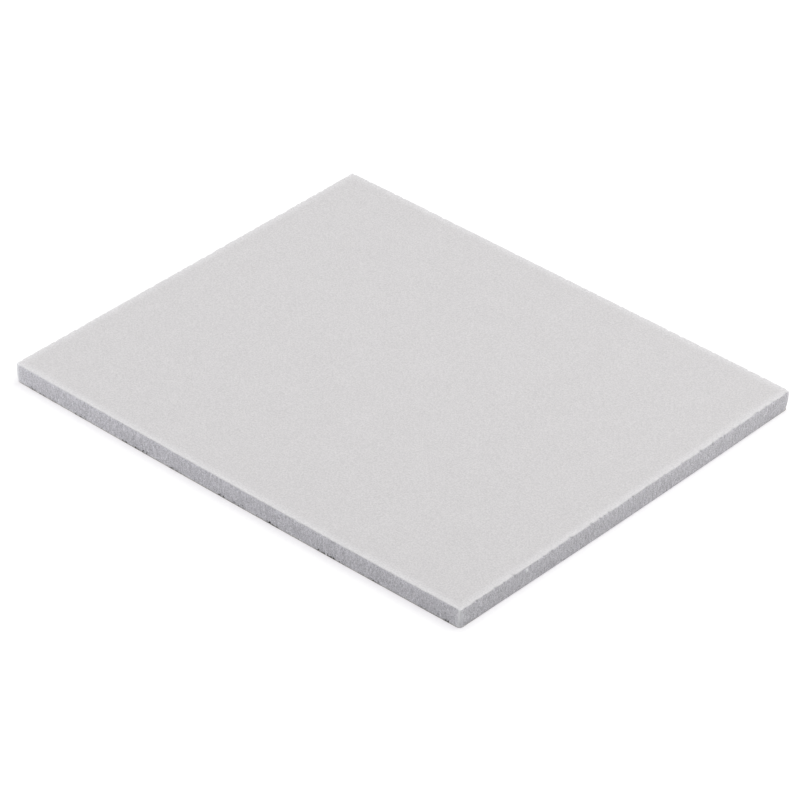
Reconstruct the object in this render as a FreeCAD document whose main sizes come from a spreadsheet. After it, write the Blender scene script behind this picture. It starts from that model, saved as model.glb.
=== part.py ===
"""Back protector pad: a self-adhesive foam slab on its release liner.

The pad is a slab of soft, fine-celled foam. A double-coated tape is laminated to
its underside, and a siliconised paper liner covers the tape until the pad is stuck
down. All of it is die-cut in one stroke from the liner's side, so the layers share one
outline. Only the foam springs back after the cut, and so its corners are sharper.

Frame, in millimetres: +X along the long side, +Y along the short side, +Z up.
The origin is the middle of the liner's underside.
"""

import FreeCAD, Part
import Sketcher

import math
import os
import sys

DRIVING_SIZES = (
    # alias, millimetres, what it sets
    ("pad_length", 270.0, "long side, along X"),
    ("pad_width", 230.0, "short side, along Y, over the bowed front"),
    ("base_corner_radius", 2.5, "outline corners of the tape and liner, as the die cuts them"),
    ("foam_corner_radius", 1.5, "outline corners of the foam, which springs back"),
    ("front_bow", 0.8, "how far the front side bellies out at its middle, above 0"),
    ("foam_thickness", 9.66, "foam slab, which the tape and liner bring to 10"),
    ("rim_radius", 0.5, "soft upper rim of the foam"),
    ("foam_side_coat", 0.08, "adhesive between foam and tissue"),
    ("carrier_thickness", 0.08, "tissue in the middle of the tape"),
    ("bond_side_coat", 0.08, "adhesive that bonds the pad to its base"),
    ("liner_thickness", 0.10, "siliconised paper"),
)
SIZE = {alias: value for alias, value, _ in DRIVING_SIZES}

# Name of each layer and aliases of its thickness and corners, from the ground up.
LAYERS = (
    ("release_liner", "liner_thickness", "base_corner_radius"),
    ("bond_side_adhesive", "bond_side_coat", "base_corner_radius"),
    ("tape_carrier", "carrier_thickness", "base_corner_radius"),
    ("foam_side_adhesive", "foam_side_coat", "base_corner_radius"),
    ("foam_slab", "foam_thickness", "foam_corner_radius"),
)

# How a sketch numbers the points of its geometry, its origin and its upright axis.
START, END, CENTRE = 1, 2, 3
ORIGIN = (-1, 1)
UPRIGHT_AXIS = -2


def make_sheet(doc):
    """Writes the driving sizes into a spreadsheet, one aliased cell each."""
    sheet = doc.addObject("Spreadsheet::Sheet", "Sizes")
    for row, (alias, value, meaning) in enumerate(DRIVING_SIZES, start=1):
        sheet.set(f"A{row}", meaning)
        sheet.set(f"B{row}", str(value))
        sheet.setAlias(f"B{row}", alias)
    doc.recompute()


def origin_plane(body, role):
    """Returns one of the body's own origin planes."""
    for feature in body.Origin.OriginFeatures:
        if feature.Role == role:
            return feature
    raise RuntimeError(f"{body.Name} has no {role}")


def front_radius_formula(corner_alias):
    """Radius of the shallow front arc, in terms of the sheet.

    The arc is tangent to both corner arcs, and its lowest point lies front_bow below theirs.
    """
    corner = f"Sizes.{corner_alias}"
    half_chord = f"(Sizes.pad_length / 2 - {corner})"
    return f"{corner} + ({half_chord}^2 + Sizes.front_bow^2) / (2 * Sizes.front_bow)"


def draw_outline(sketch, corner_alias):
    """Draws the outline anticlockwise from the bowed front, and returns its pieces by name.

    The places are worked out exactly, so that the solver starts at its answer.
    """
    half_x = SIZE["pad_length"] / 2
    half_y = SIZE["pad_width"] / 2
    corner = SIZE[corner_alias]
    bow = SIZE["front_bow"]
    side_x = half_x - corner
    back_y = half_y - corner
    front_radius = corner + (side_x**2 + bow**2) / (2 * bow)
    front_centre = front_radius - half_y
    lean = math.asin(side_x / (front_radius - corner))
    front_y = front_centre - (front_radius - corner) * math.cos(lean)

    def arc(x, y, radius, start, end):
        circle = Part.Circle(FreeCAD.Vector(x, y, 0), FreeCAD.Vector(0, 0, 1), radius)
        return sketch.addGeometry(Part.ArcOfCircle(circle, start, end), False)

    def line(start, end):
        ends = [FreeCAD.Vector(x, y, 0) for x, y in (start, end)]
        return sketch.addGeometry(Part.LineSegment(*ends), False)

    quarter = math.pi / 2
    return {
        "front": arc(0, front_centre, front_radius, -quarter - lean, -quarter + lean),
        "front_right": arc(side_x, front_y, corner, -quarter + lean, 0),
        "right": line((half_x, front_y), (half_x, back_y)),
        "back_right": arc(side_x, back_y, corner, 0, quarter),
        "back": line((side_x, half_y), (-side_x, half_y)),
        "back_left": arc(-side_x, back_y, corner, quarter, 2 * quarter),
        "left": line((-half_x, back_y), (-half_x, front_y)),
        "front_left": arc(-side_x, front_y, corner, 2 * quarter, 3 * quarter - lean),
    }


def constrain_outline(sketch, piece, corner_alias):
    """Ties the outline to the sheet: smooth all round, centred and fully sized."""

    def constraint(kind, *values):
        return sketch.addConstraint(Sketcher.Constraint(kind, *values))

    def size(formula, kind, *values):
        sketch.setExpression(f"Constraints[{constraint(kind, *values)}]", formula)

    loop = list(piece.values())
    for one, following in zip(loop, loop[1:] + loop[:1]):
        constraint("Tangent", one, END, following, START)
    constraint("Vertical", piece["right"])
    constraint("Vertical", piece["left"])
    constraint("Horizontal", piece["back"])
    constraint("PointOnObject", piece["front"], CENTRE, UPRIGHT_AXIS)
    for corner in ("front_left", "back_left", "back_right"):
        constraint("Equal", piece["front_right"], piece[corner])

    half_x = SIZE["pad_length"] / 2
    half_y = SIZE["pad_width"] / 2
    front_radius = sketch.Geometry[piece["front"]].Radius
    front_formula = front_radius_formula(corner_alias)
    size(f"Sizes.{corner_alias}", "Radius", piece["front_right"], SIZE[corner_alias])
    size(front_formula, "Radius", piece["front"], front_radius)
    size("Sizes.pad_length / 2", "DistanceX", *ORIGIN, piece["right"], START, half_x)
    size("Sizes.pad_length / 2", "DistanceX", piece["left"], END, *ORIGIN, half_x)
    size("Sizes.pad_width / 2", "DistanceY", *ORIGIN, piece["back"], START, half_y)
    front_centre = f"{front_formula} - Sizes.pad_width / 2"
    front_values = (*ORIGIN, piece["front"], CENTRE, front_radius - half_y)
    size(front_centre, "DistanceY", *front_values)


def make_layer(doc, name, thickness, corner, below):
    """Makes one layer as a body: the outline, padded by the layer's thickness."""
    body = doc.addObject("PartDesign::Body", name)
    body.Label = name
    sketch = body.newObject("Sketcher::SketchObject", f"{name}_outline")
    sketch.AttachmentSupport = [(origin_plane(body, "XY_Plane"), "")]
    sketch.MapMode = "FlatFace"
    constrain_outline(sketch, draw_outline(sketch, corner), corner)
    pad = body.newObject("PartDesign::Pad", f"{name}_pad")
    pad.Profile = sketch
    pad.setExpression("Length", f"Sizes.{thickness}")
    if below:
        height = " + ".join(f"Sizes.{alias}" for alias in below)
        body.setExpression("Placement.Base.z", height)
    doc.recompute()
    return body


def soften_rim(doc, body):
    """Rounds the foam's upper rim, where the knife drags the cells down."""
    pad = body.Tip
    top = pad.Shape.BoundBox.ZMax
    near = 1e-6
    rim = [
        f"Edge{number}"
        for number, edge in enumerate(pad.Shape.Edges, start=1)
        if edge.BoundBox.ZMin > top - near
    ]
    fillet = body.newObject("PartDesign::Fillet", f"{body.Label}_rim")
    fillet.Base = (pad, rim)
    fillet.setExpression("Radius", "Sizes.rim_radius")
    body.Tip = fillet
    doc.recompute()


def check(doc, bodies):
    """Stops the build if an object failed, a sketch is loose or a layer isn't one sound solid."""
    for thing in doc.Objects:
        if "Invalid" in thing.State or "Error" in thing.State:
            sys.exit(f"{thing.Label} failed: {thing.State}")
        if thing.TypeId == "Sketcher::SketchObject" and not thing.FullyConstrained:
            sys.exit(f"{thing.Label} is not fully constrained")
    for body in bodies:
        shape = body.Shape
        if shape.isNull() or not shape.isValid() or len(shape.Solids) != 1:
            sys.exit(f"{body.Label} is not one valid solid")


def export(bodies):
    """Writes one STEP file for each layer, and prints its size and place."""
    os.makedirs("parts", exist_ok=True)
    for body in bodies:
        body.Shape.exportStep(os.path.join("parts", f"{body.Label}.step"))
        box = body.Shape.optimalBoundingBox()
        size = f"{box.XLength:.2f} x {box.YLength:.2f} x {box.ZLength:.2f} mm"
        volume = body.Shape.Volume / 1000
        print(f"{body.Label}: {size} from z {box.ZMin:.2f}, {volume:.2f} cm3")


def main():
    doc = FreeCAD.newDocument("back_protector")
    make_sheet(doc)
    bodies = []
    below = []
    for name, thickness, corner in LAYERS:
        bodies.append(make_layer(doc, name, thickness, corner, below))
        below.append(thickness)
    soften_rim(doc, bodies[-1])
    check(doc, bodies)
    export(bodies)


main()
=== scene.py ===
"""Looks of the back protector pad: a soft foam slab, its tape and its printed liner.

The foam is a cut slab of fine cells. Its upper rim is torn where the knife left it, and
the front side carries smears of the liner's print, which the knife dragged upwards.
"""

import math

import bmesh
import bpy
from mathutils import Matrix, Vector, noise


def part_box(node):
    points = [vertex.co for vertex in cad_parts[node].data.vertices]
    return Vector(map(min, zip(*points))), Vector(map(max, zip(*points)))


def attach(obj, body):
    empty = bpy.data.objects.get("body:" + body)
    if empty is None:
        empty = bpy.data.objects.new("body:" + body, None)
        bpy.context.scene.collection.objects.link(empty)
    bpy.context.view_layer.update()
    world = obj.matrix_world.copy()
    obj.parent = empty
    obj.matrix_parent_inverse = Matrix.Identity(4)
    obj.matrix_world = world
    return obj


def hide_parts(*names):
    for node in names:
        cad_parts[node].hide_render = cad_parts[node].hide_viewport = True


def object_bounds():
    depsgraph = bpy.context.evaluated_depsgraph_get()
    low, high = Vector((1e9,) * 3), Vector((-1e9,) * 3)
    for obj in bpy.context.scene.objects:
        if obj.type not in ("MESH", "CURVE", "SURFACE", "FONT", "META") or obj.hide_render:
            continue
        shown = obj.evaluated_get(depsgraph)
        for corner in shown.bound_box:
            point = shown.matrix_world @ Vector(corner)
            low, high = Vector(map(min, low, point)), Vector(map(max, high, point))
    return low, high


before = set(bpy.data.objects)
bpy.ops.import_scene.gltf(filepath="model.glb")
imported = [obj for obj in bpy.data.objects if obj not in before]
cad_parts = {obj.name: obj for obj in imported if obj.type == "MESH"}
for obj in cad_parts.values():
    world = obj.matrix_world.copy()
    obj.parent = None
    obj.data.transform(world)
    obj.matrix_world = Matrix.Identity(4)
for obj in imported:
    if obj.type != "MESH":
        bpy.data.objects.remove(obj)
cad_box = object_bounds()

bl_info = {
    "name": "Back Protector Pad",
    "version": (1, 0, 0),
    "blender": (4, 5, 0),
    "location": "View3D > Sidebar > Back Protector",
    "description": "Makes a self-adhesive foam back protector pad on its release liner",
    "category": "Mesh",
}

MM = 0.001
FOAM_LOW, FOAM_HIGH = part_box("foam_slab")
LINER_LOW, LINER_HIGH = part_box("release_liner")
TAPE_FINISHES = {
    "foam_side_adhesive": "adhesive",
    "tape_carrier": "tissue",
    "bond_side_adhesive": "adhesive",
}

# Heights that differ by less than this many metres count as the same.
SAME_HEIGHT = 1e-6

# Each edge of the fine band along a rim is cut this many times.
FOAM_BAND_CUTS = 2
LINER_BAND_CUTS = 3

# How far a bite reaches over the rim, for the mesh and for its colour.
TEAR_REACH = 0.7 * MM
TEAR_COLOUR_REACH = 0.8 * MM

# Where the torn crumb hangs, from the right side's front end and below the top face, and
# which way it is drawn out.
CRUMB_FROM_FRONT = 43.2 * MM
CRUMB_BELOW_TOP = 2.0 * MM
CRUMB_PULL = Vector((0.7, 0.0, 0.25))

# The camera's film and lens in millimetres, and how far from the pad's middle it aims.
FILM_WIDTH = 36.0
LENS = 204.7
AIM_OFFSET = Vector((1.9, -3.3, -5.2)) * MM

# The floor keeps its shadow out to the first distance and is plain white from the second.
SHADOW_ENDS = 0.25
WHITE_BEGINS = 0.6
FLOOR_WHITE = 1.07
FLOOR_GAP = 0.02 * MM

# Where the print's blocks start and end, as shares of its pitch: a group of three, then one.
PRINT_BLOCKS = ((0.0, 0.085), (0.105, 0.19), (0.21, 0.292), (0.495, 0.625))

# Name, place, side in metres, power in watts and colour of each lamp.
LAMPS = (
    ("top_lamp", (0.06, 0.24, 1.55), 1.35, 18.6, (1.0, 1.0, 1.0)),
    ("left_lamp", (-0.6, -0.55, 0.14), 0.24, 1.65, (0.985, 0.98, 1.0)),
    ("right_lamp", (0.6, 0.5, 0.14), 0.24, 0.9, (1.0, 0.985, 0.95)),
)


# Sizes and colours ---------------------------------------------------------------------


def length(name, description, default):
    """A length property, in metres."""
    return bpy.props.FloatProperty(
        name=name,
        description=description,
        default=default,
        min=0.0,
        precision=5,
        unit="LENGTH",
        subtype="DISTANCE",
    )


def share(name, description, default):
    """A property from 0 to 1."""
    return bpy.props.FloatProperty(
        name=name, description=description, default=default, min=0.0, max=1.0, subtype="FACTOR"
    )


def colour(name, description, default):
    """A linear colour property."""
    return bpy.props.FloatVectorProperty(
        name=name,
        description=description,
        default=default,
        size=3,
        min=0.0,
        max=1.0,
        subtype="COLOR",
    )


def angle(name, description, degrees):
    """An angle property, given in degrees and kept in radians."""
    return bpy.props.FloatProperty(
        name=name,
        description=description,
        default=math.radians(degrees),
        unit="ROTATION",
        subtype="ANGLE",
    )


class OutlineSettings(bpy.types.PropertyGroup):
    liner_corner: length("Liner corner", "Corner radius of the liner", 2.5 * MM)
    front_corner: length("Front corner", "Corner radius of the foam's front foot", 1.9 * MM)
    back_corner: length("Back corner", "Corner radius of the foam's back foot", 3.4 * MM)
    upper_corner: length("Upper corner", "Corner radius of the foam's upper rim", 0.6 * MM)
    front_bow: length("Front bow", "How far the front side bellies out at its middle", 0.8 * MM)
    right_bow: length("Right bow", "How far the foam's right side bellies out", 0.5 * MM)
    right_lean: length("Right lean", "How far the right foot stands past its rim", 0.55 * MM)
    back_bow: length("Back bow", "How far the foam's back side bellies out", 0.4 * MM)
    wander: length("Wander", "How far the cut strays in and out along a side", 0.25 * MM)


class FoamSettings(bpy.types.PropertyGroup):
    inner_cell: length("Inner cell", "Mesh size of the top face away from its rim", 1.35 * MM)
    rim_band: length("Rim band", "Width of the finely meshed band along the rim", 2.6 * MM)
    rim_radius: length("Rim radius", "How soft the upper rim is", 0.3 * MM)
    tear_depth: length("Tear depth", "Deepest bite out of the upper rim", 0.9 * MM)
    tear_length: length("Tear length", "Usual length of a bite along the rim", 2.4 * MM)
    cut_roughness: length("Cut roughness", "How far cells stand out of the cut sides", 0.14 * MM)
    sway: length("Sway", "How far the top face rises and falls", 0.04 * MM)
    crumb_size: length("Crumb size", "Size of the torn crumb on the right side", 1.3 * MM)
    top_colour: colour("Top colour", "Colour of the moulded top face", (0.669, 0.655, 0.661))
    # Painted light: this paler colour makes the top face glow along its rim, standing for light
    # that leaks out through the foam there.
    rim_glow_colour: colour("Rim colour", "Colour of the top face at its rim", (0.745, 0.735, 0.745))
    # Painted highlight: this near-white colour stands for the light that the upright corners
    # catch, over a paler, less porous cut skin.
    corner_highlight_colour: colour("Corner colour", "Colour of the upright corners", (0.965, 0.97, 1.0))
    cut_colour: colour("Cut colour", "Colour of the open cells on the sides", (0.629, 0.62, 0.657))
    ink_colour: colour("Ink colour", "Colour of the dragged print", (0.02, 0.019, 0.016))
    scatter: length("Scatter", "How far light travels inside the foam", 1.0 * MM)


class LinerSettings(bpy.types.PropertyGroup):
    cell: length("Cell", "Mesh size of the paper", 3.0 * MM)
    print_pitch: length("Print pitch", "Distance after which the print repeats", 59.6 * MM)
    print_start: length("Print start", "From the left end to the first block", 8.5 * MM)
    row_pitch: length("Row pitch", "Distance between two rows of print", 23.0 * MM)
    row_height: length("Row height", "Height of a row of print", 6.0 * MM)
    paper_colour: colour("Paper colour", "Colour of the siliconised paper", (0.74, 0.72, 0.66))
    print_colour: colour("Print colour", "Colour of the printed blocks", (0.03, 0.03, 0.035))


class TapeSettings(bpy.types.PropertyGroup):
    adhesive_colour: colour("Adhesive colour", "Colour of the acrylic adhesive", (0.6, 0.58, 0.5))
    tissue_colour: colour("Tissue colour", "Colour of the tape's tissue", (0.72, 0.71, 0.67))


class StageSettings(bpy.types.PropertyGroup):
    azimuth: angle("Azimuth", "Where the camera stands round the pad", 40.617)
    elevation: angle("Elevation", "How high the camera stands", 34.51)
    roll: angle("Roll", "How far the camera is turned about its own axis", 1.88)
    distance: length("Distance", "From the camera to the pad", 2.084)
    floor_size: length("Floor size", "Side of the square floor", 12.0)
    floor_colour: colour("Floor colour", "Colour of the floor", (0.68, 0.68, 0.68))
    shadow_colour: colour("Shadow colour", "What full shadow takes away", (0.56, 0.59, 0.54))
    world_level: share("World level", "Strength of the even light from all round", 0.32)


class PadSettings(bpy.types.PropertyGroup):
    outline: bpy.props.PointerProperty(type=OutlineSettings)
    foam: bpy.props.PointerProperty(type=FoamSettings)
    liner: bpy.props.PointerProperty(type=LinerSettings)
    tape: bpy.props.PointerProperty(type=TapeSettings)
    stage: bpy.props.PointerProperty(type=StageSettings)


# Shader helpers ------------------------------------------------------------------------


class Shader:
    """A new material, with a short way to add and join its nodes."""

    def __init__(self, name):
        self.material = bpy.data.materials.new(name)
        self.material.use_nodes = True
        self.tree = self.material.node_tree
        self.surface = self.tree.nodes["Principled BSDF"]
        self.place = self.add("ShaderNodeTexCoord").outputs["Object"]

    def add(self, kind, settings=None, **inputs):
        """Adds a node. An input is a value or the output of another node."""
        node = self.tree.nodes.new(kind)
        for name, value in (settings or {}).items():
            setattr(node, name, value)
        for name, value in inputs.items():
            self.feed(node.inputs[name.replace("_", " ")], value)
        return node

    def feed(self, socket, value):
        """Links an output to a socket, or sets the socket's own value."""
        if isinstance(value, bpy.types.NodeSocket):
            self.tree.links.new(value, socket)
        else:
            socket.default_value = value

    def maths(self, operation, *values):
        """Adds a Math node."""
        node = self.add("ShaderNodeMath", {"operation": operation})
        for socket, value in zip(node.inputs, values):
            self.feed(socket, value)
        return node.outputs[0]

    def spread(self, value, from_low, from_high, to_low, to_high):
        """Maps a value from one range to another, and holds it there."""
        node = self.add("ShaderNodeMapRange", {"clamp": True})
        for socket, number in zip(node.inputs, (value, from_low, from_high, to_low, to_high)):
            self.feed(socket, number)
        return node.outputs[0]

    def mix(self, factor, one, other, blend="MIX"):
        """Mixes two colours."""
        node = self.add("ShaderNodeMix", {"data_type": "RGBA", "blend_type": blend})
        self.feed(node.inputs["Factor"], factor)
        self.feed(node.inputs["A"], one)
        self.feed(node.inputs["B"], other)
        return node.outputs["Result"]

    def noise(self, feature, detail=2.0, rough=0.5, place=None):
        """Smooth noise whose features are this many metres across."""
        found = self.add(
            "ShaderNodeTexNoise",
            Vector=place or self.place,
            Scale=1.0 / feature,
            Detail=detail,
            Roughness=rough,
        )
        return found.outputs["Fac"]

    def cells(self, feature, place=None):
        """Distance to the middle of the nearest cell, in shares of a cell."""
        found = self.add(
            "ShaderNodeTexVoronoi", Vector=place or self.place, Scale=1.0 / feature
        )
        return found.outputs["Distance"]

    def bump(self, height, depth, strength=1.0):
        """Raises the surface by a height map, depth metres at most."""
        node = self.add("ShaderNodeBump", Height=height, Distance=depth, Strength=strength)
        self.feed(self.surface.inputs["Normal"], node.outputs["Normal"])

    def scaled(self, factors, turn=0.0):
        """Object coordinates turned about Z and scaled, so that features stretch one way."""
        node = self.add("ShaderNodeMapping", Vector=self.place)
        node.inputs["Scale"].default_value = factors
        node.inputs["Rotation"].default_value = (0.0, 0.0, turn)
        return node.outputs["Vector"]

    def attribute(self, name):
        """A value that the mesh carries at its vertices."""
        return self.add("ShaderNodeAttribute", {"attribute_name": name}).outputs["Fac"]


def rgba(colour_value, factor=1.0):
    """A socket's four values from a colour property."""
    return (*(channel * factor for channel in colour_value), 1.0)


# Materials -----------------------------------------------------------------------------


def top_colour(shader, settings, past_rim):
    """The fine moulded top face, with a painted glow within a few millimetres of its rim."""
    grain = shader.noise(0.7 * MM, detail=2.0, rough=0.6)
    patch = shader.noise(12.0 * MM)
    grain_tone = shader.spread(grain, 0.25, 0.75, 0.87, 1.13)
    patch_tone = shader.spread(patch, 0.3, 0.7, 0.993, 1.007)
    tone = shader.maths("MULTIPLY", grain_tone, patch_tone)
    middle = shader.mix(1.0, rgba(settings.top_colour), tone, "MULTIPLY")
    # Painted light: the paler rim stands for light leaking out of the foam at its rim.
    rim = shader.mix(1.0, rgba(settings.rim_glow_colour), tone, "MULTIPLY")
    near_rim = shader.spread(past_rim, -4.5, -0.6, 0.0, 1.0)
    return shader.mix(near_rim, middle, rim)


def foot_bounce_light(shader, past_rim):
    """Painted light: a factor that pales the front side's foot, standing for light bounced up from
    the floor, and is 1 everywhere else.
    """
    into = shader.add("ShaderNodeSeparateXYZ", Vector=shader.place).outputs["Y"]
    on_front = shader.spread(into, FOAM_LOW.y + 1.0 * MM, FOAM_LOW.y + 3.0 * MM, 1.0, 0.0)
    low_down = shader.spread(past_rim, 6.0, 9.3, 0.0, 0.13)
    return shader.maths("ADD", shader.maths("MULTIPLY", on_front, low_down), 1.0)


def side_colour(shader, settings, past_rim):
    """The open cells of the cut sides, dragged upright, with painted light: paler under the rim
    and at the front foot.
    """
    pores = shader.cells(0.75 * MM)
    cut_grain = shader.noise(0.55 * MM, detail=2.0, rough=0.6)
    drag = shader.noise(0.9 * MM, place=shader.scaled((1.0, 1.0, 0.35)))
    tone = shader.maths(
        "MULTIPLY",
        shader.spread(pores, 0.08, 0.48, 0.74, 1.06),
        shader.spread(cut_grain, 0.25, 0.75, 0.7, 1.3),
    )
    tone = shader.maths("MULTIPLY", tone, shader.spread(drag, 0.25, 0.75, 0.84, 1.16))
    # Painted light: the sides are paler just under the rim, standing for light from the top face
    # that leaks out there.
    glow_under_rim = shader.maths("POWER", 2.0, shader.maths("MULTIPLY", past_rim, -0.5))
    tone = shader.maths("MULTIPLY", tone, shader.maths("MULTIPLY_ADD", glow_under_rim, 0.15, 1.0))
    # Painted light on the front side's foot.
    tone = shader.maths("MULTIPLY", tone, foot_bounce_light(shader, past_rim))
    return shader.mix(1.0, rgba(settings.cut_colour), tone, "MULTIPLY")


def foam_colour(shader, settings):
    """Colour of the foam: its top, its cut sides past a ragged rim, and a painted highlight down
    its upright corners.
    """
    past_rim = shader.attribute("past_rim")
    ragged = shader.maths("MULTIPLY_ADD", shader.noise(1.3 * MM, detail=3.0), 1.4, -0.75)
    is_cut = shader.spread(shader.maths("ADD", past_rim, ragged), -0.1, 0.7, 0.0, 1.0)
    top = top_colour(shader, settings, past_rim)
    skin = shader.mix(is_cut, top, side_colour(shader, settings, past_rim))
    # Painted highlight down the upright corners and on the crumb, over a paler cut skin.
    fleck = shader.spread(shader.noise(0.45 * MM, detail=1.0), 0.3, 0.7, 0.8, 1.15)
    corner_highlight = shader.maths("MULTIPLY", shader.attribute("corner"), fleck)
    return shader.mix(corner_highlight, skin, rgba(settings.corner_highlight_colour))


def add_ink(shader, skin, settings):
    """Smears the liner's print over the foam's foot, thinning out into specks above."""
    ink = shader.attribute("ink")
    clumps = shader.noise(1.1 * MM, detail=2.5, rough=0.6)
    reach = shader.maths("MULTIPLY_ADD", ink, 0.26, clumps)
    specks = shader.spread(reach, 0.73, 0.8, 0.0, 0.95)
    haze = shader.maths("MULTIPLY", ink, 0.2)
    stain = shader.maths("MAXIMUM", specks, haze)
    stain = shader.maths("MULTIPLY", stain, shader.spread(ink, 0.02, 0.12, 0.0, 1.0))
    return shader.mix(stain, skin, rgba(settings.ink_colour))


def foam_material(settings):
    """Fine-celled foam: matte, soft to the light, and rougher where it was cut."""
    shader = Shader("soft_grey_foam")
    skin = foam_colour(shader, settings)
    shader.feed(shader.surface.inputs["Base Color"], add_ink(shader, skin, settings))
    is_side = shader.spread(shader.attribute("past_rim"), -0.1, 0.3, 0.25, 1.0)
    cells = shader.maths("MULTIPLY", shader.cells(0.8 * MM), is_side)
    fine = shader.noise(0.5 * MM, detail=3.0, rough=0.6)
    height = shader.maths("MULTIPLY_ADD", fine, is_side, cells)
    shader.bump(height, 0.25 * MM, 0.6)
    surface = shader.surface.inputs
    surface["Roughness"].default_value = 0.92
    surface["Specular IOR Level"].default_value = 0.2
    surface["Subsurface Weight"].default_value = 0.5
    surface["Subsurface Radius"].default_value = (1.0, 1.0, 1.0)
    surface["Subsurface Scale"].default_value = settings.scatter
    return shader.material


def repeat(shader, distance, start, pitch):
    """How far a distance is through its stretch of a repeating pattern, from 0 to 1."""
    turns = shader.maths("DIVIDE", shader.maths("SUBTRACT", distance, start), pitch)
    return shader.maths("SUBTRACT", turns, shader.maths("FLOOR", turns))


def print_ink(shader, settings):
    """The printed blocks: strong on the underside, and faint through the paper above."""
    parts = shader.add("ShaderNodeSeparateXYZ", Vector=shader.place).outputs
    first_block = LINER_LOW.x + settings.print_start
    blocks = shader.add("ShaderNodeValToRGB")
    blocks.color_ramp.interpolation = "CONSTANT"
    turn = repeat(shader, parts["X"], first_block, settings.print_pitch)
    shader.feed(blocks.inputs["Fac"], turn)
    white_at(blocks.color_ramp, PRINT_BLOCKS)

    first_row = LINER_LOW.y - settings.row_height / 2
    row = repeat(shader, parts["Y"], first_row, settings.row_pitch)
    in_row = shader.maths("LESS_THAN", row, settings.row_height / settings.row_pitch)
    printed = shader.maths("MULTIPLY", blocks.outputs["Color"], in_row)

    middle = (LINER_LOW.z + LINER_HIGH.z) / 2
    underside = shader.maths("LESS_THAN", parts["Z"], middle)
    strength = shader.maths("MULTIPLY_ADD", underside, 0.8, 0.12)
    return shader.maths("MULTIPLY", printed, strength)


def liner_material(settings):
    """Siliconised paper with rows of plain blocks printed on its underside."""
    shader = Shader("printed_liner_paper")
    stretched = shader.scaled((0.35, 1.0, 1.0), 0.4)
    fibres = shader.noise(0.5 * MM, detail=4.0, rough=0.7, place=stretched)
    tone = shader.spread(fibres, 0.3, 0.7, 0.97, 1.03)
    paper = shader.mix(1.0, rgba(settings.paper_colour), tone, "MULTIPLY")
    printed = shader.mix(print_ink(shader, settings), paper, rgba(settings.print_colour))
    shader.feed(shader.surface.inputs["Base Color"], printed)
    gloss = shader.spread(shader.noise(6.0 * MM), 0.3, 0.7, 0.28, 0.4)
    shader.feed(shader.surface.inputs["Roughness"], gloss)
    shader.bump(fibres, 0.01 * MM, 0.6)
    return shader.material


def white_at(ramp, stretches):
    """Makes a stepped colour ramp white on these stretches and black elsewhere."""
    steps = [(0.0, 0.0)]
    for start, end in stretches:
        steps.append((start, 1.0))
        steps.append((end, 0.0))
    while len(ramp.elements) < len(steps):
        ramp.elements.new(1.0)
    for element, (place, level) in zip(ramp.elements, steps):
        element.position = place
        element.color = (level, level, level, 1.0)


def adhesive_material(settings):
    """Tacky acrylic adhesive: pale, glossy, with small bubbles and an uneven coat."""
    shader = Shader("acrylic_adhesive")
    bubbles = shader.spread(shader.cells(2.4 * MM), 0.0, 0.22, 1.0, 0.0)
    coat = shader.noise(3.0 * MM, detail=3.0)
    tone = shader.spread(coat, 0.3, 0.7, 0.94, 1.05)
    body = shader.mix(1.0, rgba(settings.adhesive_colour), tone, "MULTIPLY")
    pale = rgba(settings.adhesive_colour, 1.25)
    shader.feed(shader.surface.inputs["Base Color"], shader.mix(bubbles, body, pale))
    shader.feed(shader.surface.inputs["Roughness"], shader.spread(coat, 0.3, 0.7, 0.16, 0.32))
    shader.bump(shader.maths("ADD", coat, bubbles), 0.05 * MM, 0.5)
    return shader.material


def tissue_material(settings):
    """Non-woven tissue: pale crossing fibres, wetted by the adhesive."""
    shader = Shader("carrier_tissue")
    one = shader.noise(0.4 * MM, detail=3.0, place=shader.scaled((0.12, 1.0, 1.0), 0.5))
    other = shader.noise(0.4 * MM, detail=3.0, place=shader.scaled((0.12, 1.0, 1.0), -0.7))
    fibres = shader.maths("MAXIMUM", one, other)
    tone = shader.spread(fibres, 0.45, 0.75, 0.85, 1.08)
    body = shader.mix(1.0, rgba(settings.tissue_colour), tone, "MULTIPLY")
    shader.feed(shader.surface.inputs["Base Color"], body)
    shader.feed(shader.surface.inputs["Roughness"], shader.spread(fibres, 0.4, 0.8, 0.45, 0.8))
    shader.bump(fibres, 0.03 * MM, 0.6)
    return shader.material


# Mesh helpers --------------------------------------------------------------------------


def add_top(bm, low, high, cell, band, cuts):
    """Makes a flat grid over a box's top, cut finer in a band along its rim."""
    size = high - low
    middle = (low + high) / 2
    place = Matrix.Translation((middle.x, middle.y, high.z))
    place @= Matrix.Diagonal((size.x / 2, size.y / 2, 1.0, 1.0))
    bmesh.ops.create_grid(
        bm,
        x_segments=round(size.x / cell),
        y_segments=round(size.y / cell),
        size=1.0,
        matrix=place,
    )

    def near_rim(face):
        centre = face.calc_center_median() - middle
        inside = min(size.x / 2 - abs(centre.x), size.y / 2 - abs(centre.y))
        return inside < band

    edges = {edge for face in bm.faces if near_rim(face) for edge in face.edges}
    bmesh.ops.subdivide_edges(bm, edges=list(edges), cuts=cuts, use_grid_fill=True)


def drop_sides(bm, depth, rows):
    """Draws the rim down into sides, row by row, and closes the underside."""
    edges = [edge for edge in bm.edges if edge.is_boundary]
    for _ in range(rows):
        made = bmesh.ops.extrude_edge_only(bm, edges=edges)["geom"]
        verts = [item for item in made if isinstance(item, bmesh.types.BMVert)]
        bmesh.ops.translate(bm, verts=verts, vec=(0.0, 0.0, -depth / rows))
        edges = [
            item for item in made if isinstance(item, bmesh.types.BMEdge) and item.is_boundary
        ]
    bmesh.ops.contextual_create(bm, geom=edges)


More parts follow.
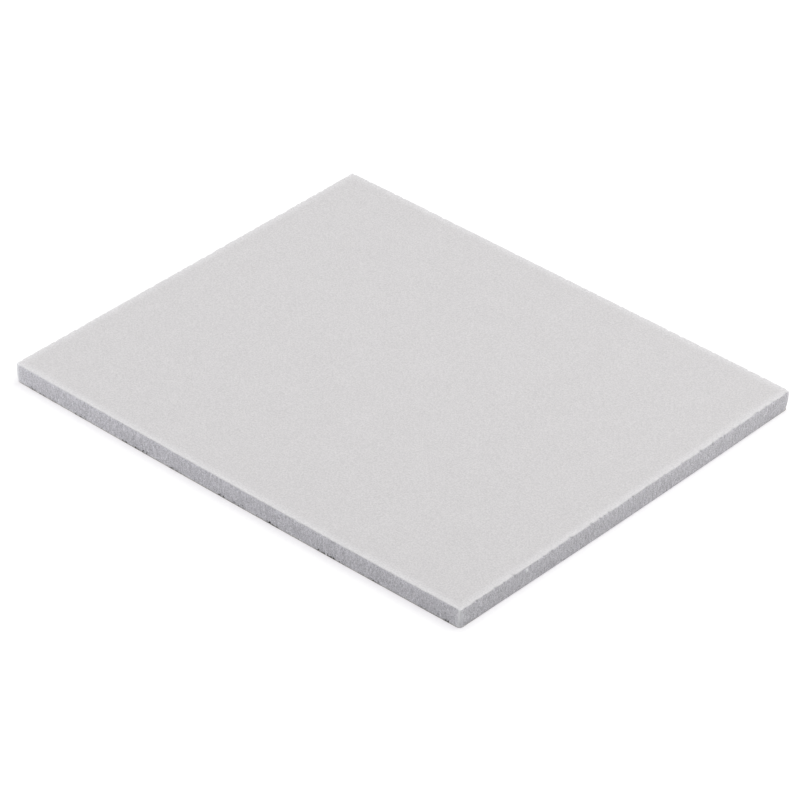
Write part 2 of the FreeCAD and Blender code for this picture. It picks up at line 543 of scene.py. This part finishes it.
def round_corners(bm, low, high, radius_at):
    """Rounds the four upright corners, by a radius that may change from place to place."""
    half = (high - low) / 2
    middle = (low + high) / 2
    for vert in bm.verts:
        radius = radius_at(vert.co)
        from_middle = vert.co - middle
        u = abs(from_middle.x) - (half.x - radius)
        v = abs(from_middle.y) - (half.y - radius)
        if u > 0 and v > 0:
            pull = max(u, v) / math.hypot(u, v)
            vert.co.x = middle.x + math.copysign(half.x - radius + u * pull, from_middle.x)
            vert.co.y = middle.y + math.copysign(half.y - radius + v * pull, from_middle.y)


def bow_front(bm, low, high, bow):
    """Draws the ends of the front side back, so that its middle bellies out to the box."""
    half = (high - low) / 2
    middle = (low + high) / 2
    for vert in bm.verts:
        x = (vert.co.x - middle.x) / half.x
        y = (vert.co.y - middle.y) / half.y
        vert.co.y += bow * x**2 * max(0.0, -y)


def add_piece(name, bm, material):
    """Turns a bmesh into a smooth-shaded object at the origin."""
    bmesh.ops.recalc_face_normals(bm, faces=bm.faces)
    for face in bm.faces:
        face.smooth = True
    mesh = bpy.data.meshes.new(name)
    bm.to_mesh(mesh)
    bm.free()
    mesh.materials.append(material)
    piece = bpy.data.objects.new(name, mesh)
    bpy.context.scene.collection.objects.link(piece)
    return piece


# Foam ----------------------------------------------------------------------------------


def beyond_outline(co, radius):
    """Distance in plan out of the rounded outline, less than 0 inside it."""
    middle = (FOAM_LOW + FOAM_HIGH) / 2
    half = (FOAM_HIGH - FOAM_LOW) / 2
    u = abs(co.x - middle.x) - (half.x - radius)
    v = abs(co.y - middle.y) - (half.y - radius)
    return math.hypot(max(u, 0.0), max(v, 0.0)) + min(max(u, v), 0.0) - radius


def past_rim(co, outline):
    """Distance over the upper rim and down the side, less than 0 on the top face."""
    below = FOAM_HIGH.z - co.z
    return below if below > SAME_HEIGHT else min(0.0, beyond_outline(co, outline.upper_corner))


def corner_highlight_level(co, radius):
    """Painted highlight: 1 on a line down an upright corner, fading out faster along the short
    side.
    """
    tip = radius * (1.0 - math.sqrt(0.5))
    onto_long_side = 0.5 * MM
    along_long = FOAM_HIGH.x - tip - onto_long_side - abs(co.x)
    along_short = FOAM_HIGH.y - tip - abs(co.y)
    away = math.hypot(along_long, 1.5 * along_short)
    return 0.4 * math.exp(-away / (3.2 * MM)) + 0.6 * math.exp(-((away / (0.8 * MM)) ** 2))


def print_level(x, liner):
    """1 where a printed block of the liner passes, fading out over a millimetre, else 0."""
    turn = ((x - FOAM_LOW.x - liner.print_start) / liner.print_pitch) % 1.0
    fade = 1.0 * MM / liner.print_pitch
    level = 0.0
    for start, end in PRINT_BLOCKS:
        into = min(turn - start, end - turn)
        level = max(level, min(1.0, 0.5 + into / fade))
    return level


def foam_radius(outline, co):
    """Corner radius of the foam at a place: sharp above, rounder at its foot."""
    up = (co.z - FOAM_LOW.z) / (FOAM_HIGH.z - FOAM_LOW.z)
    foot = outline.front_corner if co.y < 0 else outline.back_corner
    return outline.upper_corner + (foot - outline.upper_corner) * (1.0 - up) ** 3.0


def bow_foam(bm, outline):
    """Lets the right and back sides belly out, and the right side lean in towards its rim."""
    half = (FOAM_HIGH - FOAM_LOW) / 2
    middle = (FOAM_LOW + FOAM_HIGH) / 2
    for vert in bm.verts:
        x, y, z = ((vert.co[axis] - middle[axis]) / half[axis] for axis in range(3))
        right = (1.0 - min(1.0, y**2)) * max(0.0, x) ** 4
        vert.co.x += (outline.right_bow - outline.right_lean * z / 2) * right
        vert.co.y += outline.back_bow * (1.0 - min(1.0, x**6)) * max(0.0, y) ** 4


def tear_at(co, settings):
    """How much of the rim is torn away here, from 0 to 1, more on the right side."""
    place = Vector((co.x, co.y, 0.0)) / settings.tear_length
    rise = noise.noise(place) + 0.5 * noise.noise(place * 2.3) - 0.08
    right = min(1.0, max(0.0, (co.x - FOAM_HIGH.x + 3.0 * MM) / MM))
    return min(1.0, max(0.0, 2.6 * rise)) * (0.4 + 0.6 * right)


def write_attributes(bm, pad):
    """Tells the material where the rim, the painted highlight down the corners and the dragged ink
    are.

    The distance past the rim is in millimetres, and the other two go from 0 to 1.
    """
    layers = bm.verts.layers.float
    past, corner, ink = (layers.new(name) for name in ("past_rim", "corner", "ink"))
    for vert in bm.verts:
        co = vert.co
        over = past_rim(co, pad.outline)
        torn = tear_at(co, pad.foam) * math.exp(-abs(over) / TEAR_COLOUR_REACH)
        vert[past] = (over + 1.2 * pad.foam.tear_depth * torn) / MM
        above = co.z - FOAM_LOW.z
        # The corner attribute carries a painted highlight down the upright corners.
        radius = foam_radius(pad.outline, co)
        near_side = math.exp(min(0.0, over) / (0.5 * MM))
        vert[corner] = corner_highlight_level(co, radius) * near_side
        on_front = co.y < FOAM_LOW.y + 1.2 * MM and over > 0.5 * MM
        if on_front:
            vert[ink] = print_level(co.x, pad.liner) * math.exp(-above / (1.4 * MM))


def roughen_foam(bm, pad):
    """Softens and tears the rim, roughens the cut sides and lets the top sway a little."""
    foam = pad.foam
    bm.normal_update()
    moves = []
    for vert in bm.verts:
        co = vert.co.copy()
        above = co.z - FOAM_LOW.z
        over = past_rim(co, pad.outline)
        out = Vector((vert.normal.x, vert.normal.y, 0.0))
        near = math.exp(-abs(over) / foam.rim_radius)
        move = Vector()
        if over > 0.0:
            grain = noise.noise(co / (1.5 * MM)) + 0.7 * noise.noise(co / (0.8 * MM))
            held = min(1.0, above / (0.6 * MM))
            wander = noise.noise(Vector((co.x, co.y, 0.4 * co.z)) / (34.0 * MM))
            move += out * (foam.cut_roughness * grain + pad.outline.wander * wander) * held
            move -= out * (0.5 * foam.rim_radius * near)
        else:
            sway = noise.noise(co / (26.0 * MM)) + 0.5 * noise.noise(co / (11.0 * MM))
            move.z += foam.sway * sway - 0.6 * foam.rim_radius * near
        torn = tear_at(co, foam) * math.exp(-abs(over) / TEAR_REACH)
        move -= (out + Vector((0.0, 0.0, 0.7))) * (foam.tear_depth * torn)
        moves.append(move if above > SAME_HEIGHT else Vector())
    for vert, move in zip(bm.verts, moves):
        vert.co += move


def hang_crumb(bm, foam):
    """Draws out a small torn crumb near the top of the right side, with a painted highlight on it.
    """
    corner = bm.verts.layers.float["corner"]
    y = FOAM_LOW.y + CRUMB_FROM_FRONT
    middle = Vector((FOAM_HIGH.x, y, FOAM_HIGH.z - CRUMB_BELOW_TOP))
    for vert in bm.verts:
        level = math.exp(-((vert.co - middle).length / (0.6 * foam.crumb_size)) ** 2)
        if level > 0.02:
            vert.co += CRUMB_PULL * (foam.crumb_size * level)
            # Painted highlight on the crumb, carried by the corner attribute.
            vert[corner] = max(vert[corner], min(1.0, 1.5 * level))


class PAD_OT_make_foam(bpy.types.Operator):
    """Make the foam slab, with its torn rim, rough cut sides and dragged ink"""

    bl_idname = "back_protector.make_foam"
    bl_label = "Make Foam"

    def execute(self, context):
        pad = context.scene.back_protector
        foam = pad.foam
        bm = bmesh.new()
        add_top(bm, FOAM_LOW, FOAM_HIGH, foam.inner_cell, foam.rim_band, FOAM_BAND_CUTS)
        depth = FOAM_HIGH.z - FOAM_LOW.z
        drop_sides(bm, depth, round(depth / foam.inner_cell * (FOAM_BAND_CUTS + 1)))
        round_corners(bm, FOAM_LOW, FOAM_HIGH, lambda co: foam_radius(pad.outline, co))
        write_attributes(bm, pad)
        roughen_foam(bm, pad)
        hang_crumb(bm, foam)
        bow_front(bm, FOAM_LOW, FOAM_HIGH, pad.outline.front_bow)
        bow_foam(bm, pad.outline)
        piece = add_piece("foam_pad", bm, foam_material(foam))
        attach(piece, "pad")
        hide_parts("foam_slab")
        return {"FINISHED"}


# Liner and tape ------------------------------------------------------------------------


class PAD_OT_make_liner(bpy.types.Operator):
    """Make the printed release liner"""

    bl_idname = "back_protector.make_liner"
    bl_label = "Make Release Liner"

    def execute(self, context):
        pad = context.scene.back_protector
        bm = bmesh.new()
        cell = pad.liner.cell
        add_top(bm, LINER_LOW, LINER_HIGH, cell, cell, LINER_BAND_CUTS)
        drop_sides(bm, LINER_HIGH.z - LINER_LOW.z, 1)
        round_corners(bm, LINER_LOW, LINER_HIGH, lambda co: pad.outline.liner_corner)
        bow_front(bm, LINER_LOW, LINER_HIGH, pad.outline.front_bow)
        piece = add_piece("liner_sheet", bm, liner_material(pad.liner))
        for face in piece.data.polygons:
            face.use_smooth = False
        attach(piece, "liner")
        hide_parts("release_liner")
        return {"FINISHED"}


class PAD_OT_finish_tape(bpy.types.Operator):
    """Give the tape's three layers their finishes"""

    bl_idname = "back_protector.finish_tape"
    bl_label = "Finish Tape"

    def execute(self, context):
        tape = context.scene.back_protector.tape
        finishes = {"adhesive": adhesive_material(tape), "tissue": tissue_material(tape)}
        for node, finish in TAPE_FINISHES.items():
            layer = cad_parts[node]
            layer.data.materials.clear()
            layer.data.materials.append(finishes[finish])
        return {"FINISHED"}


# Stage ---------------------------------------------------------------------------------


def seen_directly(tree):
    """1 for the camera, mirrors and glass, and 0 for the light that the pad receives."""
    path = tree.nodes.new("ShaderNodeLightPath")
    total = path.outputs["Is Camera Ray"]
    for ray in ("Is Glossy Ray", "Is Transmission Ray"):
        both = tree.nodes.new("ShaderNodeMath")
        both.operation = "MAXIMUM"
        tree.links.new(total, both.inputs[0])
        tree.links.new(path.outputs[ray], both.inputs[1])
        total = both.outputs[0]
    return total


def floor_material(settings):
    """A pale floor that looks white, and keeps the shadow near the pad."""
    shader = Shader("pale_floor")
    surface = shader.surface.inputs
    seen = seen_directly(shader.tree)
    tint = shader.mix(seen, rgba(settings.floor_colour), rgba(settings.shadow_colour))
    shader.feed(surface["Base Color"], tint)
    surface["Roughness"].default_value = 1.0
    surface["Specular IOR Level"].default_value = 0.0
    away = shader.add("ShaderNodeVectorMath", {"operation": "LENGTH"}, Vector=shader.place)
    is_far = shader.spread(away.outputs["Value"], SHADOW_ENDS, WHITE_BEGINS, 0.0, 1.0)
    near = (*(FLOOR_WHITE - part for part in settings.shadow_colour), 1.0)
    far = (FLOOR_WHITE, FLOOR_WHITE, FLOOR_WHITE, 1.0)
    shader.feed(surface["Emission Color"], shader.mix(is_far, near, far))
    shader.feed(surface["Emission Strength"], seen)
    return shader.material


def make_world(level):
    """Soft even light from all round, which looks white."""
    world = bpy.data.worlds.new("studio")
    world.use_nodes = True
    tree = world.node_tree
    strength = tree.nodes.new("ShaderNodeMix")
    strength.inputs["A"].default_value = level
    strength.inputs["B"].default_value = 1.0
    tree.links.new(seen_directly(tree), strength.inputs["Factor"])
    background = tree.nodes["Background"].inputs
    background["Color"].default_value = (1.0, 1.0, 1.0, 1.0)
    tree.links.new(strength.outputs["Result"], background["Strength"])
    bpy.context.scene.world = world


def add_lamp(name, place, size, power, tint):
    """A soft square lamp that looks at the origin."""
    light = bpy.data.lights.new(name, "AREA")
    light.size = size
    light.energy = power
    light.color = tint
    lamp = bpy.data.objects.new(name, light)
    lamp.location = place
    lamp.rotation_mode = "QUATERNION"
    lamp.rotation_quaternion = (-Vector(place)).to_track_quat("-Z", "Y")
    bpy.context.scene.collection.objects.link(lamp)


def add_camera(settings):
    """The camera, with a long lens, looking down on the pad's front corner."""
    data = bpy.data.cameras.new("camera")
    data.sensor_width = FILM_WIDTH
    data.lens = LENS
    camera = bpy.data.objects.new("camera", data)
    middle = (cad_box[0] + cad_box[1]) / 2
    flat = math.cos(settings.elevation)
    back = Vector(
        (
            math.sin(settings.azimuth) * flat,
            -math.cos(settings.azimuth) * flat,
            math.sin(settings.elevation),
        )
    )
    camera.location = middle + back * settings.distance
    aim = middle + AIM_OFFSET
    turn = (aim - camera.location).to_track_quat("-Z", "Y")
    camera.rotation_mode = "QUATERNION"
    camera.rotation_quaternion = turn @ Matrix.Rotation(settings.roll, 3, "Z").to_quaternion()
    bpy.context.scene.collection.objects.link(camera)
    bpy.context.scene.camera = camera


class PAD_OT_make_stage(bpy.types.Operator):
    """Make the floor, the lights and the camera"""

    bl_idname = "back_protector.make_stage"
    bl_label = "Make Stage"

    def execute(self, context):
        settings = context.scene.back_protector.stage
        bm = bmesh.new()
        bmesh.ops.create_grid(bm, x_segments=1, y_segments=1, size=settings.floor_size / 2)
        bmesh.ops.translate(bm, verts=bm.verts, vec=(0.0, 0.0, LINER_LOW.z - FLOOR_GAP))
        floor = add_piece("floor", bm, floor_material(settings))
        make_world(settings.world_level)
        for lamp in LAMPS:
            add_lamp(*lamp)
        add_camera(settings)
        context.scene.view_settings.view_transform = "Standard"
        return {"FINISHED"}


# Panel and registration ----------------------------------------------------------------


class PAD_PT_sidebar(bpy.types.Panel):
    """Lists the pieces of the back protector pad"""

    bl_idname = "PAD_PT_sidebar"
    bl_label = "Back Protector"
    bl_space_type = "VIEW_3D"
    bl_region_type = "UI"
    bl_category = "Back Protector"

    def draw(self, context):
        pad = context.scene.back_protector
        for operator, groups in STEPS:
            box = self.layout.box()
            box.operator(operator.bl_idname)
            for group in (getattr(pad, name) for name in groups):
                for size in group.__annotations__:
                    box.prop(group, size)


STEPS = (
    (PAD_OT_make_foam, ("outline", "foam")),
    (PAD_OT_make_liner, ("liner",)),
    (PAD_OT_finish_tape, ("tape",)),
    (PAD_OT_make_stage, ("stage",)),
)
GROUPS = (
    OutlineSettings,
    FoamSettings,
    LinerSettings,
    TapeSettings,
    StageSettings,
    PadSettings,
)
CLASSES = (*GROUPS, *(operator for operator, _ in STEPS), PAD_PT_sidebar)


def register():
    for item in CLASSES:
        bpy.utils.register_class(item)
    bpy.types.Scene.back_protector = bpy.props.PointerProperty(type=PadSettings)


def unregister():
    del bpy.types.Scene.back_protector
    for item in reversed(CLASSES):
        bpy.utils.unregister_class(item)


def main():
    register()
    bpy.ops.back_protector.make_foam()
    bpy.ops.back_protector.make_liner()
    bpy.ops.back_protector.finish_tape()
    bpy.ops.back_protector.make_stage()


if __name__ == "__main__":
    main()
